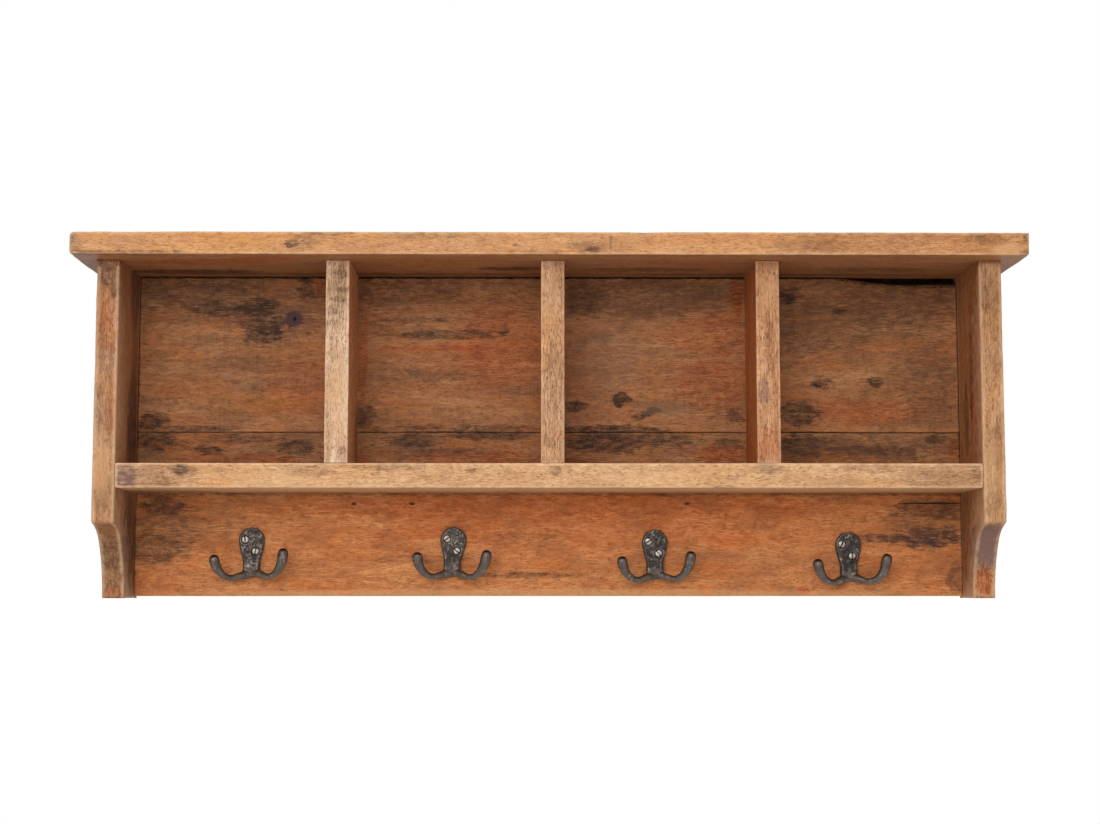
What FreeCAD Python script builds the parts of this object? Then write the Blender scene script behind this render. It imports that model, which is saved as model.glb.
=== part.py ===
import FreeCAD, Part
import math
import os
from FreeCAD import Placement, Rotation, Vector

# Wall coat rack in reclaimed timber: four cubbies over a hook board with four cast double hooks.
# Millimetres. +X runs to the right, +Y into the wall and +Z up. The origin lies on the wall
# plane, midway between the entry holes of the two keyhole hanger plates.

# Outer sizes
overall_width = 1000.0
overall_depth = 150.0
overall_height = 380.0
end_overhang = 22.0
front_overhang = 33.0

# Board thicknesses
top_thickness = 24.0
side_thickness = 24.0
divider_thickness = 25.0
shelf_thickness = 26.0
back_thickness = 15.0

# Heights of the cubbies and of the back boards' seams
cubby_height = 215.0
lower_strip_height = 41.0
hook_board_drop = 10.0
foot_reveal = 2.0
divider_row_shift = 3.0

# Wane on the upper back board: its top front arris falls away towards the right-hand end
wane_length = 150.0
wane_drop = 8.0
wane_run = 12.0
wane_feather = 0.4

# Scoop at the foot of each side panel: two arcs, the upper one tighter by the given share
scoop_depth = 56.0
scoop_height = 77.0
scoop_tightness = 0.8
scoop_nose_radius = 5.0

# Eased arrises
top_arris = 2.0
board_arris = 1.6
back_arris = 1.0

# Loose tenons: the web is the wood left behind a blind mortise in the face of a board
tenon_length = 40.0
tenon_width = 50.0
tenon_thickness = 8.0
tenon_web = 9.0
tenon_clearance = 0.1
tenon_end_gap = 0.5
hook_board_tenon_length = 36.0
hook_board_tenon_width = 50.0
hook_board_tenon_thickness = 6.0

# Cut nails that hold the upper back boards, with their heads set just below the surface
nail_width = 3.0
nail_tip_width = 1.6
nail_thickness = 2.0
nail_length = 30.0
nail_head_width = 5.0
nail_head_height = 1.2
nail_set = 0.4
nail_inset = 34.0
nail_clearance = 0.05

# Small round work that repeats, the hooks' bars and the screws, is made many-sided
round_sides = 16

# Cast double hooks, measured from the underside of the crotch
hook_end_inset = 127.0
hook_row_shift = 3.8
hook_crotch_height = 23.0
plate_height = 52.0
plate_width = 27.5
plate_thickness = 5.0
neck_width = 17.6
neck_thickness = 10.0
neck_top = 12.0
swell_top = 22.0
plate_chamfer = 1.2
crotch_corner = 3.0

# Prongs: one bar from tip to tip, each half in an upright plane splayed out from straight ahead
prong_splay = 57.0
prong_reach = 44.0
prong_bend_radius = 17.6
prong_bend_steps = 5
prong_low = -1.1
prong_root_slope = 16.0
prong_root_forward = 3.0
prong_root_radius = 5.4
prong_waist_radius = 3.2
prong_tip_radius = 5.3
prong_tip_round = 3.0
left_tip_rise = 4.5
right_tip_rise = 10.0

# How each hook was set by hand: shift along the row, shift in height, tilt in degrees
hook_hand_set = ((-2.0, 0.0, -0.5), (-1.5, 0.5, 3.0), (2.8, -2.3, 0.5), (-2.8, -5.0, 0.5))

# Countersunk screws in the hooks, the upper one near the plate's left edge and the lower one near
# the neck's right edge
upper_screw_edge = 6.6
upper_screw_drop = 13.2
lower_screw_edge = 4.6
lower_screw_lift = 4.0
hook_screw_head = 7.6
hook_screw_shank = 4.0
hook_screw_cover = 3.5
hook_screw_sink = 0.5
screw_clearance = 0.1

# Keyhole hanger plates let into the rear edges of the side panels
hanger_drop = 75.0
hanger_edge = 3.0
hanger_thickness = 1.5
hanger_corner = 3.0
hanger_fit = 0.15
keyhole_radius = 4.5
keyhole_slot_width = 4.6
keyhole_slot_rise = 11.0
pocket_depth = 10.0
pocket_margin = 1.0
hanger_screw_land = 3.0
hanger_screw_inset = 6.0
hanger_screw_head = 6.4
hanger_screw_shank = 3.2
hanger_screw_length = 16.0
hanger_screw_sink = 0.2

# Places worked out from the sizes above
half_width = overall_width / 2
outer_half = half_width - end_overhang
inner_half = outer_half - side_thickness
side_centre = (outer_half + inner_half) / 2
front_y = front_overhang - overall_depth
back_front_y = -back_thickness
top_z = hanger_drop
underside_z = top_z - top_thickness
shelf_top_z = underside_z - cubby_height
shelf_bottom_z = shelf_top_z - shelf_thickness
foot_z = top_z - overall_height
hook_board_bottom_z = foot_z + foot_reveal
hook_board_top_z = shelf_bottom_z - hook_board_drop
middle_top_z = shelf_top_z + lower_strip_height
shelf_mid_z = (shelf_top_z + shelf_bottom_z) / 2
hook_screw_length = plate_thickness - hook_screw_sink + back_thickness - hook_screw_cover
pocket_radius = keyhole_radius + pocket_margin
hanger_width = side_thickness - 2 * hanger_edge
hanger_screw_reach = keyhole_slot_rise + pocket_radius + hanger_screw_land + hanger_screw_shank / 2
hanger_height = 2 * (hanger_screw_reach + hanger_screw_inset)

right = Vector(1, 0, 0)
wallward = Vector(0, 1, 0)
forward = Vector(0, -1, 0)
up = Vector(0, 0, 1)
down = Vector(0, 0, -1)
touch = 1e-4

divider_names = ("left_divider", "middle_divider", "right_divider")
bay_pitch = 2 * inner_half / (len(divider_names) + 1)
divider_xs = [divider_row_shift - inner_half + bay_pitch * (i + 1) for i in range(len(divider_names))]
bay_mid_y = (front_y + back_front_y) / 2
tenon_size = (tenon_length, tenon_width, tenon_thickness)
hook_board_tenon_size = (hook_board_tenon_length, hook_board_tenon_width, hook_board_tenon_thickness)


def box(x0, x1, y0, y1, z0, z1):
    return Part.makeBox(x1 - x0, y1 - y0, z1 - z0, Vector(x0, y0, z0))


def rod(start, axis, radius, length):
    return Part.makeCylinder(radius, length, start, axis)


def at(value, place):
    return abs(value - place) < touch


def ease_long_front_edges(board, size, y, along):
    edges = []
    for edge in board.Edges:
        span = edge.BoundBox
        length = {"x": span.XLength, "z": span.ZLength}[along]
        if at(span.YMin, y) and at(span.YMax, y) and at(length, edge.Length):
            edges.append(edge)
    return board.makeChamfer(size, edges)


def drill(board, holes):
    return board.cut(Part.makeCompound(holes)) if holes else board


# Loose tenons. A seam is a point on the face where two boards meet, the axis points into the face
# of the board that holds the blind mortise, and the rest lies in the end of the other board.

def tenon(seam, axis, across, seat, size, slack=0.0, end_gap=0.0):
    length, width, thickness = size
    spread = across * (width / 2 + slack) + axis.cross(across) * (thickness / 2 + slack)
    a = seam - axis * (length - seat + end_gap) - spread
    b = seam + axis * (seat + end_gap) + spread
    return box(*sorted((a.x, b.x)), *sorted((a.y, b.y)), *sorted((a.z, b.z)))


def tenon_row(seams, axis, across, seat, size):
    tenons = [tenon(seam, axis, across, seat, size) for seam in seams]
    mortises = [tenon(seam, axis, across, seat, size, tenon_clearance, tenon_end_gap) for seam in seams]
    return tenons, mortises


def end_tenons(y, z, across, size):
    tenons = []
    mortises = []
    for side in (-1, 1):
        seam = Vector(side * inner_half, y, z)
        row = tenon_row([seam], right * side, across, side_thickness - tenon_web, size)
        tenons += row[0]
        mortises += row[1]
    return tenons, mortises


def top_tenons():
    uprights = [-side_centre] + divider_xs + [side_centre]
    seams = [Vector(x, bay_mid_y, underside_z) for x in uprights]
    return tenon_row(seams, up, wallward, top_thickness - tenon_web, tenon_size)


def divider_tenons():
    seams = [Vector(x, bay_mid_y, shelf_top_z) for x in divider_xs]
    return tenon_row(seams, down, wallward, shelf_thickness - tenon_web, tenon_size)


def shelf_tenons():
    return end_tenons(bay_mid_y, shelf_mid_z, wallward, tenon_size)


def hook_board_tenons():
    middle_z = (hook_board_bottom_z + hook_board_top_z) / 2
    return end_tenons(back_front_y / 2, middle_z, up, hook_board_tenon_size)


# Cut nails, driven forward from the wall side, their width along the grain of the boards

def nail_section(point, width, grow):
    half_width = width / 2 + grow
    half_thickness = nail_thickness / 2 + grow
    corners = [point + right * (half_width * a) + up * (half_thickness * b)
               for a, b in ((-1, -1), (1, -1), (1, 1), (-1, 1), (-1, -1))]
    return Part.makePolygon(corners)


def nail(point, grow=0.0, set_depth=nail_set):
    head = point + forward * set_depth
    tip = point + forward * (nail_set + nail_length + grow)
    shank = Part.makeLoft([nail_section(head, nail_width, grow), nail_section(tip, nail_tip_width, grow)],
                          True, True)
    neck = point + forward * (nail_set + nail_head_height + grow)
    head_sections = [nail_section(end, nail_head_width, grow) for end in (head, neck)]
    return shank.fuse(Part.makeLoft(head_sections, True, True))


def nail_hole(point):
    return nail(point, nail_clearance, 0.0)


def back_board_nails():
    divider_rows = (middle_top_z + nail_inset, underside_z - nail_inset)
    points = [Vector(x, 0, z) for x in divider_xs for z in divider_rows]
    bays = [-inner_half + bay_pitch * (i + 0.5) for i in range(len(divider_names) + 1)]
    points += [Vector(x, 0, shelf_mid_z) for x in bays]
    return [nail(point) for point in points], [nail_hole(point) for point in points]


# Many-sided solids through rings of points, with flat faces from each ring to the next

def ring(point, tangent, normal, radius):
    across = tangent.cross(normal)
    turns = [2 * math.pi * i / round_sides for i in range(round_sides)]
    return [point + normal * (radius * math.cos(t)) + across * (radius * math.sin(t)) for t in turns]


def skin(rings):
    outlines = [rings[0], rings[-1]]
    for here, there in zip(rings, rings[1:]):
        for i in range(round_sides):
            outlines.append([here[i - 1], here[i], there[i]])
            outlines.append([here[i - 1], there[i], there[i - 1]])
    shell = Part.makeShell([Part.Face(Part.makePolygon(corners + corners[:1])) for corners in outlines])
    shell.sewShape()
    solid = Part.makeSolid(shell).removeSplitter()
    return solid if solid.Volume > 0 else solid.reversed()


# Countersunk screws, made with the head up at the origin and pointing down

def turned(stations):
    return skin([ring(down * depth, down, right, radius) for depth, radius in stations])


def countersunk_screw(head, shank, length):
    return turned(((0, head / 2), ((head - shank) / 2, shank / 2), (length, shank / 2)))


def countersunk_hole(head, shank, length, sink):
    mouth = head / 2 + sink
    bore = shank / 2 + screw_clearance
    return turned(((0, mouth), (mouth - bore, bore), (length + sink, bore)))


def pilot_hole(shank, length, sink):
    bore = shank / 2 + screw_clearance
    return turned(((0, bore), (length + sink, bore)))


def aim(shape, point, direction):
    placed = shape.copy()
    placed.Placement = Placement(point, Rotation(down, direction)) * placed.Placement
    return placed


# Cast double hook, made with its back on the plane y = 0 and its crotch at z = 0

def plate_outline():
    round_radius = plate_width / 2
    round_z = plate_height - round_radius
    half_neck = neck_width / 2
    bend_z = (round_z + neck_top) / 2
    flank = Part.BezierCurve()
    flank.setPoles([Vector(round_radius, 0, round_z), Vector(round_radius, 0, bend_z),
                    Vector(half_neck, 0, bend_z), Vector(half_neck, 0, neck_top)])
    right_flank = flank.toShape()
    left_flank = right_flank.mirror(Vector(), right)
    crown = Part.Arc(Vector(-round_radius, 0, round_z), Vector(0, 0, plate_height),
                     Vector(round_radius, 0, round_z)).toShape()
    corners = [Vector(half_neck, 0, neck_top), Vector(half_neck, 0, 0),
               Vector(-half_neck, 0, 0), Vector(-half_neck, 0, neck_top)]
    sides = [Part.LineSegment(a, b).toShape() for a, b in zip(corners, corners[1:])]
    return Part.Wire(Part.__sortEdges__([crown, right_flank, left_flank] + sides))


def plate_side_profile():
    above = plate_height * 2
    corners = [Vector(0, -neck_thickness, crotch_corner), Vector(0, crotch_corner - neck_thickness, 0),
               Vector(0, 0, 0), Vector(0, 0, above), Vector(0, -plate_thickness, above),
               Vector(0, -plate_thickness, swell_top), Vector(0, -neck_thickness, neck_top)]
    return Part.makePolygon(corners + corners[:1])


def hook_plate():
    front_view = Part.Face(plate_outline()).extrude(forward * (2 * neck_thickness))
    side_view = Part.Face(plate_side_profile()).extrude(right * (2 * plate_width))
    side_view.translate(right * -plate_width)
    plate = front_view.common(side_view)
    flat = [e for e in plate.Edges if at(e.BoundBox.YMin, -plate_thickness) and e.BoundBox.YLength < touch]
    return plate.makeChamfer(plate_chamfer, [e for e in flat if e.BoundBox.ZLength > touch])


def prong_stations(tip_rise):
    # Distance out and height of each ring, slope of the bar there, and its radius
    bend_out = prong_reach - prong_bend_radius
    bend_z = prong_low + prong_bend_radius
    swelling = prong_tip_radius - prong_waist_radius
    stations = []
    for i in range(prong_bend_steps + 1):
        share = i / prong_bend_steps
        slope = (90 + prong_root_slope) * share - prong_root_slope
        a = math.radians(slope - 90)
        place = (bend_out + prong_bend_radius * math.cos(a), bend_z + prong_bend_radius * math.sin(a))
        stations.append((place, slope, prong_waist_radius + swelling * share))
    for turn in (0, 45, 90):
        a = math.radians(turn)
        z = bend_z + tip_rise - prong_tip_round * (1 - math.sin(a))
        stations.append(((prong_reach, z), 90, prong_tip_radius - prong_tip_round * (1 - math.cos(a))))
    return stations


def prong_rings(side, tip_rise):
    splay = math.radians(prong_splay)
    outward = Vector(side * math.sin(splay), -math.cos(splay), 0)
    rings = []
    for (out, z), slope, radius in prong_stations(tip_rise):
        lean = math.radians(slope)
        tangent = outward * math.cos(lean) + up * math.sin(lean)
        normal = up * math.cos(lean) - outward * math.sin(lean)
        point = forward * prong_root_forward + outward * out + up * z
        rings.append(ring(point, tangent * side, normal, radius))
    return rings


def hook_bar():
    waist_out, waist_z = prong_stations(left_tip_rise)[0][0]
    root_z = waist_z + waist_out * math.tan(math.radians(prong_root_slope))
    root = ring(forward * prong_root_forward + up * root_z, right, up, prong_root_radius)
    left = prong_rings(-1, left_tip_rise)
    return skin(left[::-1] + [root] + prong_rings(1, right_tip_rise))


def hook_screw_seats():
    upper = Vector(upper_screw_edge - plate_width / 2, -plate_thickness, plate_height - upper_screw_drop)
    lower = Vector(neck_width / 2 - lower_screw_edge, -plate_thickness, swell_top + lower_screw_lift)
    return upper, lower


def hook_screw_hole():
    return countersunk_hole(hook_screw_head, hook_screw_shank, hook_screw_length, hook_screw_sink)


def cast_hook():
    room = 2 * prong_reach
    behind = box(-room, room, 0, room, -room, room)
    body = hook_plate().fuse(hook_bar()).cut(behind)
    return drill(body, [aim(hook_screw_hole(), seat, wallward) for seat in hook_screw_seats()])


def hook_placements():
    row_half = inner_half - hook_end_inset
    pitch = 2 * row_half / (len(hook_hand_set) - 1)
    placements = []
    for i, (shift, lift, tilt) in enumerate(hook_hand_set):
        x = hook_row_shift - row_half + i * pitch + shift
        z = hook_board_bottom_z + hook_crotch_height + lift
        placements.append(Placement(Vector(x, back_front_y, z), Rotation(wallward, tilt)))
    return placements


def hook_screws_and_holes():
    screw = countersunk_screw(hook_screw_head, hook_screw_shank, hook_screw_length)
    hole = pilot_hole(hook_screw_shank, hook_screw_length, hook_screw_sink)
    screws = []
    holes = []
    for placement in hook_placements():
        for seat in hook_screw_seats():
            head = seat + wallward * hook_screw_sink
            for shape, made in ((screw, screws), (hole, holes)):
                placed = aim(shape, head, wallward)
                placed.Placement = placement * placed.Placement
                made.append(placed)
    return screws, holes


# Keyhole hangers

def hanger_blank(x, width, height):
    return box(x - width / 2, x + width / 2, -hanger_thickness, 0, -height / 2, height / 2)


def keyhole(x):
    centre = Vector(x, 0, 0)
    slot_radius = keyhole_slot_width / 2
    entry = rod(centre, forward, keyhole_radius, hanger_thickness)
    slot_end = rod(centre + up * keyhole_slot_rise, forward, slot_radius, hanger_thickness)
    slot = box(x - slot_radius, x + slot_radius, -hanger_thickness, 0, 0, keyhole_slot_rise)
    return entry.fuse([slot_end, slot]).removeSplitter()


def hanger_screw_points(x):
    return [Vector(x, 0, -hanger_screw_reach), Vector(x, 0, hanger_screw_reach)]


def hanger_screws(x):
    screw = countersunk_screw(hanger_screw_head, hanger_screw_shank, hanger_screw_length)
    return [aim(screw, point + forward * hanger_screw_sink, forward) for point in hanger_screw_points(x)]


def hanger_plate(x):
    blank = hanger_blank(x, hanger_width, hanger_height)
    corners = [e for e in blank.Edges if at(e.BoundBox.YLength, e.Length)]
    plate = blank.makeFillet(hanger_corner, corners)
    hole = countersunk_hole(hanger_screw_head, hanger_screw_shank, hanger_screw_length, hanger_screw_sink)
    return drill(plate, [aim(hole, point, forward) for point in hanger_screw_points(x)] + [keyhole(x)])


def hanger_seat(x):
    recess = hanger_blank(x, hanger_width + 2 * hanger_fit, hanger_height + 2 * hanger_fit)
    pocket = box(x - pocket_radius, x + pocket_radius, -hanger_thickness - pocket_depth, 0,
                 -pocket_radius, keyhole_slot_rise + pocket_radius)
    pilot = pilot_hole(hanger_screw_shank, hanger_screw_length, hanger_screw_sink)
    return [recess, pocket] + [aim(pilot, point, forward) for point in hanger_screw_points(x)]


# Boards

def top_board(holes):
    board = box(-half_width, half_width, -overall_depth, 0, underside_z, top_z)
    edges = [e for e in board.Edges if e.BoundBox.YMin < -touch]
    return drill(board.makeChamfer(top_arris, edges), holes)


def scoop_arcs():
    # Level at the top, upright at the foot, and smooth where the two arcs meet
    upper_radius = scoop_tightness * scoop_depth
    spread = scoop_depth ** 2 + scoop_height ** 2 - 2 * scoop_height * upper_radius
    lower_radius = spread / (2 * (scoop_depth - upper_radius))
    upper_centre = Vector(0, front_y, foot_z + scoop_height - upper_radius)
    lower_centre = Vector(0, front_y + scoop_depth - lower_radius, foot_z)
    outward = (upper_centre - lower_centre).normalize()
    meeting = upper_centre + outward * upper_radius
    top = upper_centre + up * upper_radius
    foot = lower_centre + wallward * lower_radius
    upper_middle = upper_centre + (up + outward).normalize() * upper_radius
    lower_middle = lower_centre + (wallward + outward).normalize() * lower_radius
    return [Part.Arc(top, upper_middle, meeting).toShape(), Part.Arc(meeting, lower_middle, foot).toShape()]


def side_panel(side, holes):
    scoop_top = Vector(0, front_y, foot_z + scoop_height)
    scoop_foot = Vector(0, front_y + scoop_depth, foot_z)
    corners = [scoop_foot, Vector(0, 0, foot_z), Vector(0, 0, underside_z),
               Vector(0, front_y, underside_z), scoop_top]
    lines = [Part.LineSegment(a, b).toShape() for a, b in zip(corners, corners[1:])]
    profile = Part.Wire(Part.__sortEdges__(scoop_arcs() + lines))
    panel = Part.Face(profile).extrude(right * side_thickness)
    panel.translate(right * (inner_half if side > 0 else -outer_half))
    nose = [e for e in panel.Edges if at(e.BoundBox.YMax, front_y) and at(e.BoundBox.ZMax, scoop_top.z)
            and at(e.BoundBox.XLength, side_thickness)]
    panel = panel.makeFillet(scoop_nose_radius, nose)
    arrises = [e for e in panel.Edges if e.BoundBox.XLength < touch
               and e.BoundBox.YMin < scoop_foot.y - touch
               and e.BoundBox.ZLength > touch]
    panel = panel.makeChamfer(board_arris, arrises)
    return drill(panel, holes)


def cubby_shelf(holes):
    board = box(-inner_half, inner_half, front_y, back_front_y, shelf_bottom_z, shelf_top_z)
    return drill(ease_long_front_edges(board, board_arris, front_y, "x"), holes)


def divider(x, holes):
    half = divider_thickness / 2
    board = box(x - half, x + half, front_y, back_front_y, shelf_top_z, underside_z)
    return drill(ease_long_front_edges(board, board_arris, front_y, "z"), holes)


def wane():
    # Triangles along the top front arris, each reaching a little past the board's faces
    sections = []
    for share, along in ((wane_feather / wane_drop, -wane_length), (0.8, -wane_length / 2), (1.0, 0.0)):
        drop = wane_drop * share
        run = wane_run * share
        x = inner_half + along
        low = Vector(x, back_front_y - run, underside_z - 2 * drop)
        far = Vector(x, back_front_y + 2 * run, underside_z + drop)
        near = Vector(x, back_front_y - run, underside_z + drop)
        sections.append(Part.makePolygon([low, far, near, low]))
    return Part.makeLoft(sections, True, True)


def back_board(z0, z1, holes):
    board = box(-inner_half, inner_half, back_front_y, 0, z0, z1)
    return drill(ease_long_front_edges(board, back_arris, back_front_y, "x"), holes)


def build():
    top_joint, top_mortises = top_tenons()
    divider_joint, divider_mortises = divider_tenons()
    shelf_joint, shelf_mortises = shelf_tenons()
    hook_board_joint, hook_board_mortises = hook_board_tenons()
    nails, nail_holes = back_board_nails()
    hook_screws, hook_screw_holes = hook_screws_and_holes()

    hanger_xs = (-side_centre, side_centre)
    hanger_cuts = [cut for x in hanger_xs for cut in hanger_seat(x)]

    side_cuts = top_mortises + shelf_mortises + hook_board_mortises + hanger_cuts
    nodes = {
        "top_board": top_board(top_mortises),
        "left_side_panel": side_panel(-1, side_cuts),
        "right_side_panel": side_panel(1, side_cuts),
        "cubby_shelf": cubby_shelf(shelf_mortises + divider_mortises + nail_holes),
        "upper_back_board": back_board(middle_top_z, underside_z, nail_holes + [wane()]),
        "middle_back_board": back_board(hook_board_top_z, middle_top_z, nail_holes),
        "hook_board": back_board(hook_board_bottom_z, hook_board_top_z,
                                 hook_board_mortises + hook_screw_holes),
        "left_hanger_plate": hanger_plate(hanger_xs[0]),
        "right_hanger_plate": hanger_plate(hanger_xs[1]),
    }
    for name, x in zip(divider_names, divider_xs):
        nodes[name] = divider(x, top_mortises + divider_mortises + nail_holes)
    hook = cast_hook()
    for i, placement in enumerate(hook_placements()):
        placed = hook.copy()
        placed.Placement = placement
        nodes[f"coat_hook_{i + 1}"] = placed
    groups = {
        "top_tenons": top_joint,
        "divider_tenons": divider_joint,
        "shelf_tenons": shelf_joint,
        "hook_board_tenons": hook_board_joint,
        "back_board_nails": nails,
        "hook_screws": hook_screws,
        "hanger_screws": [screw for x in hanger_xs for screw in hanger_screws(x)],
    }
    for name, pieces in groups.items():
        nodes[name] = Part.makeCompound(pieces)
    return nodes


os.makedirs("parts", exist_ok=True)
for node_name, shape in build().items():
    shape.exportStep(os.path.join("parts", node_name + ".step"))
    print(node_name, len(shape.Solids), "solids", shape.isValid(), round(shape.Volume, 1), "mm3")
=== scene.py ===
import math
from functools import partial

import bmesh
import bpy
import numpy as np
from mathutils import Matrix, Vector


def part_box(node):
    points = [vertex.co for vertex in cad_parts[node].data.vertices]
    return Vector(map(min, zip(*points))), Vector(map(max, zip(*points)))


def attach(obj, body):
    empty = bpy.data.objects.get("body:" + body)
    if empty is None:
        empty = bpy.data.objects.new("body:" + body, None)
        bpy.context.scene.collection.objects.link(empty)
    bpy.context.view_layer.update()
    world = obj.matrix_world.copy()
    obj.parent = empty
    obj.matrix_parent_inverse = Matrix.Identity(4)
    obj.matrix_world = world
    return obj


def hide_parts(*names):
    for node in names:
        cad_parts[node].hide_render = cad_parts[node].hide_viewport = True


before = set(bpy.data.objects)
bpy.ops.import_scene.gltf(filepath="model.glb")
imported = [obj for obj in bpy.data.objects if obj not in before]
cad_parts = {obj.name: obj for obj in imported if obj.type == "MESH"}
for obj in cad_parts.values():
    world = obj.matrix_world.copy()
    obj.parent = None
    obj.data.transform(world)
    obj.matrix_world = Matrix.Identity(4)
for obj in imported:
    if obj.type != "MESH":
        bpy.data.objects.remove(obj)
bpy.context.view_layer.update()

mm = 0.001
print("frame loaded,", len(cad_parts), "nodes")


# shared helpers
def toLinear(hexColour):
    parts = [int(hexColour[i:i + 2], 16) / 255 for i in (0, 2, 4)]
    return tuple(p / 12.92 if p <= 0.04045 else ((p + 0.055) / 1.055) ** 2.4 for p in parts) + (1,)


def addNode(tree, kind, sockets=None, **settings):
    node = tree.nodes.new("ShaderNode" + kind)
    for name, value in settings.items():
        setattr(node, name, value)
    for key, value in (sockets or {}).items():
        if isinstance(value, bpy.types.NodeSocket):
            tree.links.new(value, node.inputs[key])
        else:
            node.inputs[key].default_value = value
    return node.outputs


def newSurface(name):
    # an empty material, what adds a node to it, and the object's own coordinates in mm
    material = bpy.data.materials.new(name)
    material.use_nodes = True
    material.node_tree.nodes.clear()
    add = partial(addNode, material.node_tree)
    place = add("VectorMath", {0: add("TexCoord")["Object"], "Scale": 1 / mm}, operation="SCALE")[0]
    return material, add, place


def between(a, b, share):
    return a + (b - a) * share


def eased(share):
    share = np.clip(share, 0, 1)
    return share * share * (3 - 2 * share)


def ripple(points, size, seed):
    # seeded smooth noise from -1 to 1, its bumps about `size` mm apart
    spots = points / (size * mm)
    cell = np.floor(spots).astype(np.int64)
    part = eased(spots - cell)
    mixers = np.array([374761393, 668265263, 1274126177])  # large primes, which scramble a lattice corner
    total = np.zeros(len(points))
    for corner in range(8):
        bits = np.array([(corner >> axis) & 1 for axis in range(3)])
        key = ((cell + bits) * mixers).sum(axis=1) + seed * 362437
        key = (key ^ (key >> 13)) * 1103515245 & 0x7fffffff
        key = (key ^ (key >> 16)) & 0xffff
        total += np.where(bits, part, 1 - part).prod(axis=1) * (key / 32767.5 - 1)
    return total


def waves(points, plan, seed):
    return sum(share * ripple(points, size, seed + number) for number, (size, share) in enumerate(plan))


def newMesh(points, faces, arris=None):
    mesh = bpy.data.meshes.new("mesh")
    mesh.from_pydata([tuple(p) for p in points], [], [tuple(int(i) for i in f) for f in faces])
    if arris is not None:  # closeness to an arris, read by the wood for its wear; on the hooks it marks the plate and the painted shade on the tips
        layer = mesh.attributes.new("arris", "FLOAT", "POINT")
        layer.data.foreach_set("value", np.asarray(arris, dtype=np.float32))
    mesh.shade_smooth()
    mesh.update()
    return mesh


def addObject(name, data):
    made = bpy.data.objects.new(name, data)
    bpy.context.scene.collection.objects.link(made)
    return made


def objectFrom(work, name):
    mesh = bpy.data.meshes.new(name)
    work.to_mesh(mesh)
    work.free()
    return addObject(name, mesh)


def addPiece(name, mesh, material, node):
    mesh.name = name
    mesh.materials.append(material)
    piece = addObject(name, mesh)
    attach(piece, "root")
    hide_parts(node)
    return piece


def applyModifier(piece, kind, **settings):
    modifier = piece.modifiers.new(kind.lower(), kind)
    for name, value in settings.items():
        setattr(modifier, name, value)
    made = bpy.data.meshes.new_from_object(piece.evaluated_get(bpy.context.evaluated_depsgraph_get()))
    old = piece.data
    piece.modifiers.clear()
    piece.data = made
    bpy.data.meshes.remove(old)


def cutBoxes(piece, boxes):
    # nail pits, hanger recesses and screw slots, cut with small boxes (lo, hi) in mm
    work = bmesh.new()
    for lo, hi in boxes:
        for vert in bmesh.ops.create_cube(work, size=1)["verts"]:
            vert.co = Vector([(a + b) / 2 + c * (b - a) for a, b, c in zip(lo, hi, vert.co)]) * mm
    cutter = objectFrom(work, "cutter")
    applyModifier(piece, "BOOLEAN", object=cutter, solver="EXACT")
    bpy.data.meshes.remove(cutter.data)  # the cutter goes with it


# reclaimed hardwood, rip sawn, sanded and waxed
# The eye gets long fibre streaks, short dark pores, broad warm and dull patches, and pale rubbed arrises.
# Real fibres and pores are about 0.2 mm wide, too fine to show here, so they are drawn six times coarser.
grainLayers = {  # length and width of the pattern in mm, detail, noise range that it covers
    "figure": (95, 8, 4, 0.42, 0.64),
    "warm": (80, 28, 3, 0.46, 0.64),
    "dull": (55, 17, 4, 0.48, 0.68),
    "mottle": (11, 5, 4, 0.48, 0.68),
    "fibre": (13, 1.2, 3, 0.58, 0.36),
    "pore": (5, 1.1, 2, 0.53, 0.68),
    "speck": (1.9, 1.5, 2, 0.55, 0.72),
    "sawn": (1.8, 45, 2, 0.46, 0.66),
}
grainTones = (("figure", "pale"), ("warm", "honey"), ("dull", "ash"), ("mottle", "deep"), ("fibre", "deep"),
              ("sawn", "dark"), ("speck", "deep"), ("pore", "dark"))  # from the lowest coat to the uppermost
# gap, soot and bark also serve as painted shade in corners, joints and under boards
stainAndShadeColours = {"gap": "120c08", "soot": "362419", "plum": "452e29", "knot": "4d3333", "mauve": "7c5d56",
                "bark": "412b1f", "umber": "5f3f2a", "ash": "78604c", "straw": "dcae7d"}
glazeColours = {"rust": "85431f", "red": "80381c", "honey": "98602f", "tan": "a06a42"}  # grain shows through
blotBreaks = (("fibre", 0.62, 0.40, 0.74, 1.08), ("speck", 0.36, 0.60, 0.7, 1.15),
               ("mottle", 0.34, 0.62, 0.5, 1.15))  # noise range, and how much stain its ends let through
blotEdge = {"tears": 13, "ragged": (40, 17), "uneven": (11, 6),  # mm, along and across the grain
             "fade": (1.16, 0.68),  # shares of the radius where a stain begins and is full
             "speckFray": 1.0, "fibreFray": 0.8, "frayMiddle": -0.9}
# the old entry ramps the facing tone, which is partly painted light and shade
arrisWear = {"patch": 9, "patchShare": 0.9, "rubbed": (1.0, 1.5), "old": (0.92, 0.4)}


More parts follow.
